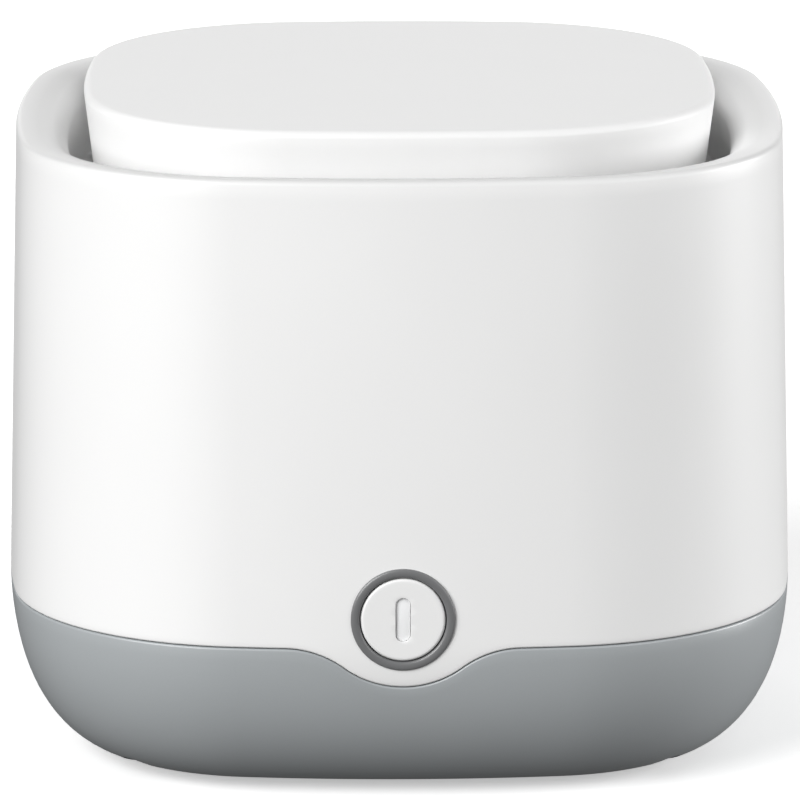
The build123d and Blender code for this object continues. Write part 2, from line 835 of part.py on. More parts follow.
nodes = {
    "upper_shell": make_upper_shell(),
    "base_shell": make_base_shell(),
    "lid_cover": make_lid(),
    "lid_liner": make_liner(),
    "lid_seal": make_seal(),
    "tank": make_tank(),
    "tank_gasket": ring_of(-flange_w, -mouth_set_back, flange_top, deck_under),
    "tank_bracket": make_bracket(),
    "piezo_disc": cylinder_z(piezo_r, piezo_under, tank_under),
    "basket": make_basket(),
    "button_ring": make_ring(),
    "button_cap": make_button(),
    "light_pipe": pill(button_front + pill_recess, pill_deep),
    "switch_plunger": make_plunger(),
    "switch_body": make_switch(),
    "indicator_leds": make_lamps(),
    "button_board": make_button_board(),
    "button_board_screws": make_button_screws(),
    "main_board": make_main_board(),
    "drive_inductor": make_inductor(),
    "capacitors": make_capacitors(),
    "heat_sink": make_sink(),
    "power_transistors": make_transistors(),
    "board_connectors": make_connectors(),
    "inlet_body": make_inlet(),
    "inlet_pin": make_inlet_pin(),
    "inlet_nut": make_inlet_nut(),
    "case_screws": union(Pos(x, y, case_seat_z) * case_screw_solid for x, y in case_points()),
    "bracket_screws": union(Pos(x, y, bracket_low) * bracket_screw_solid for x, y in bracket_points()),
    "board_screws": union(Pos(x, y, board_top) * board_screw_solid for x, y in board_points()),
}
nodes.update(make_leads())

foot_names = ("foot_left_front", "foot_left_rear", "foot_right_front", "foot_right_rear")
for name, (x, y) in zip(foot_names, foot_points()):
    nodes[name] = make_foot(x, y)

os.makedirs("parts", exist_ok=True)
for name, shape in nodes.items():
    export_step(shape, f"parts/{name}.step")
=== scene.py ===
import json
import math

import bmesh
import bpy
import numpy as np
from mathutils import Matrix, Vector


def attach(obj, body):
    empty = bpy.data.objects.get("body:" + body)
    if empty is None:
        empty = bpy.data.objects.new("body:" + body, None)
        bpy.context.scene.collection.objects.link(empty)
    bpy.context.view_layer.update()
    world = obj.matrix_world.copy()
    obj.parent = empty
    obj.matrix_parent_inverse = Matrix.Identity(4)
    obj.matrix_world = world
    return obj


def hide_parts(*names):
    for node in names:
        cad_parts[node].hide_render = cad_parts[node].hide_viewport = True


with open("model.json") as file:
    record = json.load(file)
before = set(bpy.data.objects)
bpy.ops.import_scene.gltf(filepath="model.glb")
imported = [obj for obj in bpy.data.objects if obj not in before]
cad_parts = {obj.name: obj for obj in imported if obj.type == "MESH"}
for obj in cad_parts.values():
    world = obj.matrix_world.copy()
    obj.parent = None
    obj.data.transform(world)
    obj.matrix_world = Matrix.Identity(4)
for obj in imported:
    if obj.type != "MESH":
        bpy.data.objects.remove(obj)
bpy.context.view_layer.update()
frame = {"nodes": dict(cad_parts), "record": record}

# Sizes of pieces are in millimetres; those of the studio and the depths of relief are in metres.
mm = 0.001
tiny = 0.001  # keeps two faces from lying in one plane
nodes = frame["nodes"]


cameraPlace = {
    "lookAt": (0.0, 0.0, 46.0), "distance": 1058.0, "elevation": 13.34, "turn": 0.6,
    "lens": 308.0, "sensor": 36.0, "shift": (0.0014, 0.0195), "clip": (0.05, 20.0),
}


def placeCamera():
    data = bpy.data.cameras.new("camera")
    data.lens = cameraPlace["lens"]
    data.sensor_width = cameraPlace["sensor"]
    data.shift_x, data.shift_y = cameraPlace["shift"]
    data.clip_start, data.clip_end = cameraPlace["clip"]
    made = bpy.data.objects.new("camera", data)
    bpy.context.scene.collection.objects.link(made)
    tilt, turn = math.radians(cameraPlace["elevation"]), math.radians(cameraPlace["turn"])
    back = Vector((-math.sin(turn) * math.cos(tilt), -math.cos(turn) * math.cos(tilt), math.sin(tilt)))
    made.location = (Vector(cameraPlace["lookAt"]) + back * cameraPlace["distance"]) * mm
    made.rotation_euler = (math.pi / 2 - tilt, 0, -turn)
    bpy.context.scene.camera = made


placeCamera()
print("camera placed")


# A socket that takes part in sums, so that a finish can be written as arithmetic
class Wire:
    def __init__(self, finish, socket):
        self.finish = finish
        self.socket = socket

    def math(self, operation, *values):
        return self.finish.node("ShaderNodeMath", {"operation": operation}, list(values))

    def __add__(self, other):
        return self.math("ADD", self, other)

    def __sub__(self, other):
        return self.math("SUBTRACT", self, other)

    def __rsub__(self, other):
        return self.math("SUBTRACT", other, self)

    def __mul__(self, other):
        return self.math("MULTIPLY", self, other)

    __radd__ = __add__
    __rmul__ = __mul__


class Finish:
    def __init__(self, name):
        self.material = bpy.data.materials.new(name)
        self.material.use_nodes = True
        self.tree = self.material.node_tree
        self.shader = self.tree.nodes["Principled BSDF"]
        self.place = self.node("ShaderNodeTexCoord", output="Object")

    # One node of any type: settings first, then values or wires for its sockets
    def node(self, kind, settings=None, inputs=None, output=0):
        made = self.tree.nodes.new(kind)
        for key, value in (settings or {}).items():
            if key == "stops":
                ramp = made.color_ramp
                while len(ramp.elements) < len(value):
                    ramp.elements.new(1.0)
                for element, (position, colour) in zip(ramp.elements, value):
                    element.position = position
                    element.color = (*colour, 1)
            else:
                setattr(made, key, value)
        pairs = inputs.items() if isinstance(inputs, dict) else enumerate(inputs or [])
        for key, value in pairs:
            self.feed(made.inputs[key], value)
        return Wire(self, made.outputs[output])

    def feed(self, socket, value):
        if isinstance(value, Wire):
            self.tree.links.new(value.socket, socket)
        else:
            socket.default_value = value

    def shade(self, values):
        for key, value in values.items():
            self.feed(self.shader.inputs[key], value)

    def stretched(self, scale):
        settings = {"operation": "MULTIPLY"}
        return self.node("ShaderNodeVectorMath", settings, [self.place, scale])

    def noise(self, scale, detail=2.0, roughness=0.5, distortion=0.0, stretch=None):
        place = self.stretched(stretch) if stretch else self.place
        inputs = {"Vector": place, "Scale": scale, "Detail": detail,
                  "Roughness": roughness, "Distortion": distortion}
        return self.node("ShaderNodeTexNoise", {"noise_dimensions": "3D"}, inputs)

    def cells(self, scale, output="Distance"):
        return self.node("ShaderNodeTexVoronoi", None, {"Vector": self.place, "Scale": scale}, output)

    def between(self, value, low, high, toLow=0.0, toHigh=1.0):
        inputs = {"Value": value, "From Min": low, "From Max": high, "To Min": toLow, "To Max": toHigh}
        return self.node("ShaderNodeMapRange", {"clamp": True}, inputs)

    def blend(self, first, second, share):
        inputs = {0: share, 6: paint(first), 7: paint(second)}
        return self.node("ShaderNodeMix", {"data_type": "RGBA"}, inputs, output=2)

    def height(self, axis):
        return self.node("ShaderNodeSeparateXYZ", None, [self.place], output=axis)

    def bump(self, height, strength, distance):
        inputs = {"Height": height, "Strength": strength, "Distance": distance}
        return self.node("ShaderNodeBump", None, inputs)


def paint(colour):
    return colour if isinstance(colour, Wire) else (*colour, 1.0)


def tinted(colour, share):
    return tuple(min(1.0, channel * share) for channel in colour)


plastic = {
    "cloudScale": 24, "grainScale": 3600, "finer": 2.7, "toneFrom": 0.35, "toneTo": 0.65, "spread": 0.02,
    "cloudSheen": 0.08, "grainSheen": 0.06, "relief": 0.12, "reliefDepth": 0.00003,
    "coat": 0.0, "coatRoughness": 0.3, "ior": 1.5, "specular": 0.5,
}


# Moulded plastic: cloudy tone, fine spark-eroded grain and a slightly uneven sheen, and painted shade over
# a band of heights where a finish asks for it
def mouldedPlastic(name, changes):
    look = {**plastic, **changes}
    finish = Finish(name)
    cloud = finish.noise(look["cloudScale"], 3)
    grain = finish.noise(look["grainScale"], 2, 0.6)
    fine = finish.noise(look["grainScale"] * look["finer"], 1)
    tone = finish.between(cloud * 0.75 + grain * 0.25, look["toneFrom"], look["toneTo"])
    spread = look["spread"]
    colour = finish.blend(tinted(look["colour"], 1 - spread), tinted(look["colour"], 1 + spread), tone)
    # Painted shade: over a band of heights the colour turns darker, which holds back a highlight there
    if "upper" in look:
        low, high = look["upperFrom"] * mm, look["upperTo"] * mm
        share = finish.between(finish.height(2), low, high)
        colour = finish.blend(colour, look["upper"], share)
    rough = look["roughness"] + (cloud - 0.5) * look["cloudSheen"] + (grain - 0.5) * look["grainSheen"]
    relief = finish.bump(grain * 0.7 + fine * 0.3, look["relief"], look["reliefDepth"])
    finish.shade({"Base Color": colour, "Roughness": rough, "Normal": relief,
                  "Coat Weight": look["coat"], "Coat Roughness": look["coatRoughness"],
                  "IOR": look["ior"], "Specular IOR Level": look["specular"]})
    return finish.material


rubber = {
    "cloudScale": 40, "dustScale": 1500, "dustFrom": 0.4, "dustTo": 0.68, "dustShare": 0.5, "sheen": 0.12,
    "relief": 0.25, "reliefDepth": 0.00004, "specular": 0.35,
}


# Cast silicone or rubber: matt, with patches of dust
def castRubber(name, changes):
    look = {**rubber, **changes}
    finish = Finish(name)
    cloud = finish.noise(look["cloudScale"], 4, 0.6)
    dust = finish.noise(look["dustScale"], 3, 0.7)
    share = finish.between(cloud * 0.6 + dust * 0.4, look["dustFrom"], look["dustTo"])
    colour = finish.blend(look["colour"], look["dust"], share * look["dustShare"])
    finish.shade({"Base Color": colour, "Roughness": look["roughness"] + (dust - 0.5) * look["sheen"],
                  "Normal": finish.bump(dust, look["relief"], look["reliefDepth"]),
                  "Specular IOR Level": look["specular"]})
    return finish.material


metal = {
    "finer": 3.1, "smudgeScale": 30, "streakFrom": 0.3, "streakTo": 0.7, "dark": 0.9, "light": 1.06,
    "streakSheen": 0.16, "smudgeSheen": 0.14, "smoothest": 0.05, "roughest": 0.9,
    "metallic": 1.0, "relief": 0.08, "reliefDepth": 0.00002,
}


# Metal with drawn or brushed lines along one axis and soft smudges
def workedMetal(name, changes):
    look = {**metal, **changes}
    finish = Finish(name)
    lines = finish.noise(1.0, 3, 0.65, stretch=look["lines"])
    hair = finish.noise(1.0, 1, 0.5, stretch=tuple(look["finer"] * value for value in look["lines"]))
    smudge = finish.noise(look["smudgeScale"], 4, 0.6, 0.4)
    streak = lines * 0.6 + hair * 0.4
    tone = finish.between(streak, look["streakFrom"], look["streakTo"])
    colour = finish.blend(tinted(look["colour"], look["dark"]), tinted(look["colour"], look["light"]), tone)
    rough = (look["roughness"] + (streak - 0.5) * look["streakSheen"]
             + (smudge - 0.5) * look["smudgeSheen"])
    low, high = look["smoothest"], look["roughest"]
    finish.shade({"Base Color": colour, "Roughness": finish.between(rough, low, high, low, high),
                  "Metallic": look["metallic"],
                  "Normal": finish.bump(streak, look["relief"], look["reliefDepth"])})
    return finish.material


# Circuit board: solder mask with tracks under it and bare pads
def circuitBoard(name, look):
    finish = Finish(name)
    tracks = finish.node("ShaderNodeTexBrick", {"offset": look["trackOffset"]}, {
        "Vector": finish.place, "Scale": look["trackScale"], "Mortar Size": look["trackGap"],
        "Mortar Smooth": look["trackSoft"], "Brick Width": look["trackLength"],
        "Row Height": look["trackPitch"]}, output="Fac")
    pad = finish.between(finish.cells(look["padScale"]), look["padFrom"], look["padTo"])
    mask = finish.blend(look["colour"], tinted(look["colour"], look["light"]), tracks)
    finish.shade({"Base Color": finish.blend(mask, look["pad"], pad), "Metallic": pad * look["metallic"],
                  "Roughness": look["roughness"] + (1 - pad) * look["sheen"],
                  "Normal": finish.bump(tracks * 0.6 + pad * 0.4, look["relief"], look["reliefDepth"])})
    return finish.material


powder = {
    "cloudScale": 60, "dark": 0.8, "light": 1.15, "sheen": 0.15, "metallic": 0.0, "poreTo": 0.5,
    "relief": 0.2, "reliefDepth": 0.00005,
}


# Ceramic and ferrite: pressed powder with pores
def pressedPowder(name, changes):
    look = {**powder, **changes}
    finish = Finish(name)
    pores = finish.between(finish.cells(look["poreScale"]), 0.0, look["poreTo"])
    cloud = finish.noise(look["cloudScale"], 4, 0.6)
    dark, light = tinted(look["colour"], look["dark"]), tinted(look["colour"], look["light"])
    colour = finish.blend(dark, light, cloud)
    finish.shade({"Base Color": colour, "Roughness": look["roughness"] + (cloud - 0.5) * look["sheen"],
                  "Metallic": look["metallic"],
                  "Normal": finish.bump(pores, look["relief"], look["reliefDepth"])})
    return finish.material


finishes = {
    # The shell's rim crest, 93.6 to 94.4 mm up, has painted shade: a darker colour that holds back its
    # highlight
    "shell_white": mouldedPlastic("satinWhiteShell", {
        "colour": (0.85, 0.85, 0.847), "upper": (0.71, 0.71, 0.708), "upperFrom": 93.6, "upperTo": 94.4,
        "roughness": 0.45, "coat": 0.3, "coatRoughness": 0.36, "spread": 0.012, "relief": 0.1}),
    "lid_white": mouldedPlastic("satinWhiteLid", {
        "colour": (0.805, 0.805, 0.803), "roughness": 0.47, "specular": 0.35,
        "spread": 0.012, "relief": 0.08}),
    "liner_white": mouldedPlastic("satinWhiteLiner", {
        "colour": (0.74, 0.74, 0.735), "roughness": 0.45, "relief": 0.14}),
    "base_grey": mouldedPlastic("satinGreyBase", {
        "colour": (0.375, 0.397, 0.408), "roughness": 0.4, "coat": 0.6, "coatRoughness": 0.34,
        "spread": 0.03, "relief": 0.12}),
    "ring_grey": mouldedPlastic("satinGreyRing", {
        "colour": (0.165, 0.167, 0.17), "roughness": 0.34, "coat": 0.25, "coatRoughness": 0.25,
        "spread": 0.05, "relief": 0.08}),
    "basket_white": mouldedPlastic("frostedBasket", {
        "colour": (0.72, 0.735, 0.745), "roughness": 0.34, "coat": 0.2, "coatRoughness": 0.2,
        "relief": 0.1}),
    "light_pipe": mouldedPlastic("frostedWindow", {
        "colour": (0.88, 0.885, 0.89), "roughness": 0.35, "coat": 0.2, "coatRoughness": 0.2,
        "relief": 0.05}),
    "switch_black": mouldedPlastic("mouldedBlack", {
        "colour": (0.022, 0.022, 0.024), "roughness": 0.42, "spread": 0.12, "relief": 0.2}),
    "bracket_black": mouldedPlastic("mouldedBracket", {
        "colour": (0.035, 0.035, 0.038), "roughness": 0.5, "spread": 0.1, "relief": 0.3}),
    "capacitor_sleeve": mouldedPlastic("shrinkSleeve", {
        "colour": (0.02, 0.03, 0.09), "roughness": 0.25, "coat": 0.4, "coatRoughness": 0.15,
        "spread": 0.1}),
    "connector_white": mouldedPlastic("ivoryNylon", {
        "colour": (0.68, 0.65, 0.55), "roughness": 0.5, "spread": 0.05}),
    "silicone": castRubber("greySilicone", {
        "colour": (0.45, 0.46, 0.47), "dust": (0.58, 0.58, 0.58), "roughness": 0.5, "dustShare": 0.4}),
    "foot_rubber": castRubber("darkRubber", {
        "colour": (0.035, 0.035, 0.037), "dust": (0.13, 0.13, 0.13), "roughness": 0.72}),
    "lead_sleeve": castRubber("redSleeve", {
        "colour": (0.4, 0.02, 0.015), "dust": (0.5, 0.1, 0.08), "roughness": 0.5, "dustShare": 0.3}),
    "tank_steel": workedMetal("satinSteel", {
        "colour": (0.62, 0.62, 0.61), "roughness": 0.26, "lines": (900, 900, 26), "relief": 0.1}),
    "sink_aluminium": workedMetal("extrudedAluminium", {
        "colour": (0.72, 0.73, 0.74), "roughness": 0.36, "lines": (1400, 1400, 30)}),
    "contact_metal": workedMetal("nickelPlate", {
        "colour": (0.7, 0.69, 0.66), "roughness": 0.2, "lines": (500, 2400, 500)}),
    "screw_steel": workedMetal("zincPlate", {
        "colour": (0.5, 0.51, 0.53), "roughness": 0.34, "lines": (700, 700, 2600)}),
    "circuit_board": circuitBoard("greenBoard", {
        "colour": (0.012, 0.11, 0.035), "light": 1.7, "pad": (0.7, 0.6, 0.4), "trackScale": 160,
        "trackOffset": 0.37, "trackGap": 0.05, "trackSoft": 0.2, "trackLength": 0.9, "trackPitch": 0.22,
        "padScale": 240, "padFrom": 0.16, "padTo": 0.12, "metallic": 0.9, "roughness": 0.32,
        "sheen": 0.1, "relief": 0.4, "reliefDepth": 0.00004}),
    "piezo_ceramic": pressedPowder("silveredCeramic", {
        "colour": (0.6, 0.58, 0.53), "roughness": 0.4, "metallic": 0.6, "poreScale": 2400}),
    "ferrite": pressedPowder("ferriteCore", {
        "colour": (0.05, 0.05, 0.055), "roughness": 0.55, "poreScale": 1800}),
}
print("finishes made:", len(finishes))


shell = {
    "width": 120.0, "depth": 120.0,
    "seam": 24.9, "foot": 1.0, "rim": 94.6, "round": 15.5, "draft": 1.4, "wall": 2.4, "floor": 2.6,
    "seamEdge": 0.3, "seamGap": 0.15, "dip": 5.8, "dipHalf": 17.3,
    "crest": 0.9, "land": 1.3, "dishDrop": 4.2, "slotIn": 7.8, "deckDrop": 13.0, "deck": 2.4,
    "deckEdge": 0.6, "mouthBack": 1.0, "mouthEdge": 0.7, "holeR": 7.15, "holeFrom": -70, "holeTo": -50,
    "lap": 1.2, "innerLevels": (60.0, 40.0),
    "wallShares": (0.01, 0.03, 0.06, 0.1, 0.15, 0.21, 0.3, 0.42, 0.55, 0.68, 0.8, 0.9, 0.97, 1),
}
nesting = {"lidSide": 2.3, "lidFront": 3.3, "tank": 8.7, "basket": 5.5}
rounding = {
    "body": {"sideR": 210.0, "cornerR": 38.0}, "lid": {"sideR": 200.0, "cornerR": 33.0},
    "tank": {"sideR": 170.0, "cornerR": 26.0}, "basket": {"sideR": 150.0, "cornerR": 20.0},
}


# Widths and radii of the four squircle forms, each set inside the one before it
def makePlans():
    slot = (shell["rim"] - shell["seam"]) * math.tan(math.radians(shell["draft"])) + shell["slotIn"]
    body = {"width": shell["width"], "depth": shell["depth"], **rounding["body"]}
    lidForm = {"width": body["width"] - 2 * (slot + nesting["lidSide"]),
               "depth": body["depth"] - 2 * (slot + nesting["lidFront"]), **rounding["lid"]}
    made = [body, lidForm]
    for name in ("tank", "basket"):
        outer = made[-1]
        made.append({"width": outer["width"] - 2 * nesting[name],
                     "depth": outer["depth"] - 2 * nesting[name], **rounding[name]})
    return made


bodyPlan, lidPlan, tankPlan, basketPlan = makePlans()
columnCounts = {"front": 96, "side": 28, "corner": 22}


# Points round a squircle with their outward directions, counter-clockwise from the front left
def planOf(size):
    halfW, halfD = size["width"] / 2, size["depth"] / 2
    sideR, cornerR = size["sideR"], size["cornerR"]
    front, right = Vector((0, sideR - halfD)), Vector((halfW - sideR, 0))
    chord = right - front
    lift = math.sqrt((sideR - cornerR) ** 2 - (chord.length / 2) ** 2)
    corner = (front + right) / 2 + Vector((-chord.y, chord.x)).normalized() * lift
    beta = math.degrees(math.atan2((corner - front).x, -(corner - front).y))
    gamma = math.degrees(math.atan2(-(corner - right).y, (corner - right).x))
    n, m, k = columnCounts["front"], columnCounts["side"], columnCounts["corner"]
    cx, cy = corner
    arcs = [
        (front, sideR, -90 - beta, -90 + beta, n),
        ((cx, cy), cornerR, -90 + beta, -gamma, k),
        (right, sideR, -gamma, gamma, m),
        ((cx, -cy), cornerR, gamma, 90 - beta, k),
        (-front, sideR, 90 - beta, 90 + beta, m),
        ((-cx, -cy), cornerR, 90 + beta, 180 - gamma, k),
        (-right, sideR, 180 - gamma, 180 + gamma, m),
        ((-cx, cy), cornerR, 180 + gamma, 270 - beta, k),
    ]
    points = []
    for centre, radius, low, high, steps in arcs:
        for turn in np.radians(np.linspace(low, high, steps, endpoint=False)):
            way = np.array((math.cos(turn), math.sin(turn)))
            points.append((*(np.array(centre) + radius * way), *way))
    return np.array(points)


# One row of a loft: the outline moved in by inset, at a height; both may vary round it
def rowOf(plan, inset, z):
    count = len(plan)
    inset = np.broadcast_to(np.asarray(inset, float), count)
    flat = plan[:, :2] - inset[:, None] * plan[:, 2:]
    return np.column_stack([flat, np.broadcast_to(np.asarray(z, float), count)])


def shrunk(row, share, z=None):
    made = row.copy()
    made[:, :2] *= share
    if z is not None:
        made[:, 2] = z
    return made


def mixed(first, second, share):
    return first * (1 - share) + second * share


def turns(steps, low=0.0, high=90.0):
    return np.radians(np.linspace(low, high, steps + 1))


def newMesh(name, points, faces):
    mesh = bpy.data.meshes.new(name)
    mesh.from_pydata([tuple(p) for p in np.asarray(points) * mm], [], faces)
    shape = bmesh.new()
    shape.from_mesh(mesh)
    bmesh.ops.remove_doubles(shape, verts=shape.verts, dist=1e-7)
    bmesh.ops.recalc_face_normals(shape, faces=shape.faces)
    shape.to_mesh(mesh)
    shape.free()
    made = bpy.data.objects.new(name, mesh)
    bpy.context.scene.collection.objects.link(made)
    return made


# Skin over rows of equal length; each end is a pole, or the last row joins the first
def loftOf(name, rows, ends="pole"):
    count = len(rows[0])
    points = np.concatenate(rows)
    faces = []
    pairs = [(row, row + 1) for row in range(len(rows) - 1)]
    if ends == "ring":
        pairs.append((len(rows) - 1, 0))
    for low, high in pairs:
        for column in range(count):
            after = (column + 1) % count
            faces.append((low * count + column, low * count + after,
                          high * count + after, high * count + column))
    if ends == "pole":
        poles = [rows[0].mean(0), rows[-1].mean(0)]
        points = np.concatenate([points, poles])
        for pole, row in ((len(rows) * count, 0), (len(rows) * count + 1, len(rows) - 1)):
            for column in range(count):
                faces.append((row * count + column, row * count + (column + 1) % count, pole))
    return newMesh(name, points, faces)


# Turned shape: a closed profile of (radius, along) about an axis through centre
def turned(name, profile, axis, centre, steps=96, ends="ring"):
    rows = []
    way = np.linspace(0, 2 * math.pi, steps, endpoint=False)
    for radius, along in profile:
        ringX, ringY = radius * np.cos(way), radius * np.sin(way)
        level = np.full(steps, float(along))
        row = np.column_stack([ringX, ringY, level] if axis == "z" else [ringX, level, -ringY])
        rows.append(row + np.array(centre))
    return loftOf(name, rows, ends)


# Straight prism on an outline, along an axis
def prism(name, outline, axis, low, high, centre=(0, 0, 0)):
    def at(u, v, w):
        return {"x": (w, u, v), "y": (u, w, v), "z": (u, v, w)}[axis]
    rows = [np.array([at(u, v, level) for u, v in outline]) + np.array(centre) for level in (low, high)]
    count = len(outline)
    faces = [(i, (i + 1) % count, count + (i + 1) % count, count + i) for i in range(count)]
    faces += [tuple(range(count)), tuple(range(count, 2 * count))]
    return newMesh(name, np.concatenate(rows), faces)


def capsule(length, width, upright=False, steps=8):
    half, radius = (length - width) / 2, width / 2
    points = [(half + radius * math.cos(t), radius * math.sin(t)) for t in turns(2 * steps, -90, 90)]
    points += [(-half + radius * math.cos(t), radius * math.sin(t)) for t in turns(2 * steps, 90, 270)]
    return [(v, u) for u, v in points] if upright else points


def roundedBox(width, height, radius, steps=6):
    points = []
    for sx, sy, low in ((1, -1, -90), (1, 1, 0), (-1, 1, 90), (-1, -1, 180)):
        for t in turns(steps, low, low + 90):
            points.append((sx * (width / 2 - radius) + radius * math.cos(t),
                           sy * (height / 2 - radius) + radius * math.sin(t)))
    return points


def applied(piece):
    graph = bpy.context.evaluated_depsgraph_get()
    mesh = bpy.data.meshes.new_from_object(piece.evaluated_get(graph))
    piece.modifiers.clear()
    piece.data = mesh
    return piece


# Takes cutters away from a piece, or adds them to it
def combine(piece, others, operation="DIFFERENCE"):
    for other in others:
        step = piece.modifiers.new("combine", "BOOLEAN")
        step.operation, step.solver, step.object = operation, "MANIFOLD", other
        bpy.context.view_layer.update()
        applied(piece)
        bpy.data.objects.remove(other)
    return piece


def softened(piece, width, angle=50, segments=2):
    step = piece.modifiers.new("soften", "BEVEL")
    step.width, step.segments = width * mm, segments
    step.limit_method, step.angle_limit = "ANGLE", math.radians(angle)
    step.use_clamp_overlap = True
    return applied(piece)


# Shades a piece, gives it its finish and seats it on its body
def seat(piece, body, slot, replaced=(), angle=38):
    piece.data.materials.clear()
    piece.data.materials.append(finishes[slot])
    piece.data.shade_smooth()
    piece.data.set_sharp_from_angle(angle=math.radians(angle))
    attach(piece, body)
    if replaced:
        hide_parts(*replaced)
    return piece


button = {"z": 29.4, "face": -60.0}
bodyColumns, lidColumns = planOf(bodyPlan), planOf(lidPlan)
tankColumns, basketColumns = planOf(tankPlan), planOf(basketPlan)


# The scalloped dip of the seam below the button
def seamHeight(plan, lower=0.0):
    turn = 2 * math.atan2(shell["dip"], shell["dipHalf"])
    radius = shell["dip"] / (1 - math.cos(turn)) / 2
    across = np.abs(plan[:, 0])
    half = shell["dipHalf"]
    belly = -shell["dip"] + radius - np.sqrt(np.maximum(radius ** 2 - across ** 2, 0))
    shoulder = -radius + np.sqrt(np.maximum(radius ** 2 - (half - across) ** 2, 0))
    drop = np.where(across < half / 2, belly, shoulder)
    drop = np.where((across > half) | (plan[:, 1] > 0), 0.0, drop)
    return shell["seam"] - lower + drop


# How far the outer wall stands in at a height: drafted above the seam, rounded below it
def wallIn(z, extra=0.0, foot=None):
    foot = shell["foot"] if foot is None else foot
    z = np.asarray(z, float)
    above = np.maximum(z - shell["seam"], 0) * math.tan(math.radians(shell["draft"]))
    share = np.clip((shell["seam"] - z) / (shell["seam"] - foot), 0, 1)
    return extra + above + shell["round"] * (1 - np.sqrt(1 - share ** 2))


def makeUpperShell():
    plan, rim = bodyColumns, shell["rim"]
    seam = seamHeight(plan)
    edge, crest = shell["seamEdge"], shell["crest"]
    rimIn = float(wallIn(rim))
    rows = [rowOf(plan, wallIn(seam, shell["lap"]), seam)]
    for t in turns(4):
        rise = edge * (1 - math.cos(t))
        rows.append(rowOf(plan, wallIn(seam + rise, edge * (1 - math.sin(t))), seam + rise))
    for share in shell["wallShares"]:
        z = mixed(seam + edge, np.full(len(plan), rim - crest), share)
        rows.append(rowOf(plan, wallIn(z), z))
    for t in turns(6)[1:]:
        rows.append(rowOf(plan, rimIn + crest * (1 - math.cos(t)), rim - crest * (1 - math.sin(t))))
    reach = shell["slotIn"] - shell["land"]
    for t in turns(14, 90, 0):
        inset = rimIn + shell["land"] + reach * math.cos(t)
        rows.append(rowOf(plan, inset, rim - shell["dishDrop"] * (1 - math.sin(t))))
    deck, small = rim - shell["deckDrop"], shell["deckEdge"]
    rows.append(rowOf(plan, rimIn + shell["slotIn"], mixed(rim - shell["dishDrop"], deck, 0.5)))
    for t in turns(4):
        rows.append(rowOf(plan, rimIn + shell["slotIn"] + small * (1 - math.cos(t)),
                          deck + small * (1 - math.sin(t))))
    outer, lip = rows[-1], shell["mouthEdge"]
    inner = rowOf(tankColumns, -shell["mouthBack"] - lip, deck)
    for share in (0.25, 0.5, 0.75):
        rows.append(mixed(outer, inner, share))
    for t in turns(5):
        rows.append(rowOf(tankColumns, -shell["mouthBack"] - lip * (1 - math.sin(t)),
                          deck - lip * (1 - math.cos(t))))
    under = deck - shell["deck"]
    rows.append(rowOf(tankColumns, -shell["mouthBack"], under))
    for z in (under, *shell["innerLevels"]):
        rows.append(rowOf(plan, wallIn(z, shell["wall"]), z))
    rows.append(rowOf(plan, wallIn(seam, shell["wall"]), seam))
    piece = loftOf("upperShell", rows, "ring")
    profile = [(shell["holeR"], shell["holeFrom"]), (shell["holeR"], shell["holeTo"])]
    hole = turned("ringHole", profile, "y", (0, 0, button["z"]), 96, "pole")
    combine(piece, [hole])
    return seat(piece, "housing", "shell_white", ["upper_shell"])


makeUpperShell()
print("upper shell made")

base = {
    "screwIn": 21.0, "wellR": 2.95, "seatZ": 16.0, "shankR": 1.65, "tubeR": 4.0, "jointZ": 27.0,
    "tubeSink": 0.5, "tubeTrim": -3.0, "footIn": 29.0, "footWellR": 6.1, "footSeat": 1.0, "footFlare": 0.3,
    "inletZ": 14.0, "padR": 8.0, "padY": 53.5, "noseR": 4.0, "noseTo": 48.0, "bossWall": 2.4,
    "bossTo": 62.0, "bossTrim": 0.9, "lap": 1.0, "trimIn": 2.0, "past": 1.0, "pastInlet": 70.0,
    "bottomShares": (0.96, 0.8, 0.5, 0.2, 0.03), "middleShare": 0.02,
}


# The four corner points of a plan, moved in
def fourCorners(plan, inward):
    out = (plan["width"] / 2 - inward, plan["depth"] / 2 - inward)
    return [(sx * out[0], sy * out[1]) for sx in (-1, 1) for sy in (-1, 1)]


# Solid rounded underbody, used to trim what is joined to the base to its outer skin
def underbody(name, gap, sink=0.0):
    plan, foot = bodyColumns, shell["foot"]
    seam = seamHeight(plan, gap)
    rows = [rowOf(plan, wallIn(seam, base["trimIn"] + sink), seam), rowOf(plan, wallIn(seam, sink), seam)]
    start = np.arccos(np.clip((shell["seam"] - seam) / (shell["seam"] - foot), 0, 1))
    for share in np.linspace(0, 1, 25)[1:]:
        z = shell["seam"] - (shell["seam"] - foot) * np.cos(start * (1 - share))
        rows.append(rowOf(plan, wallIn(z, sink), z + sink * share))
    middle = base["middleShare"]
    return loftOf(name, [shrunk(rows[0], middle), *rows, shrunk(rows[-1], middle)])


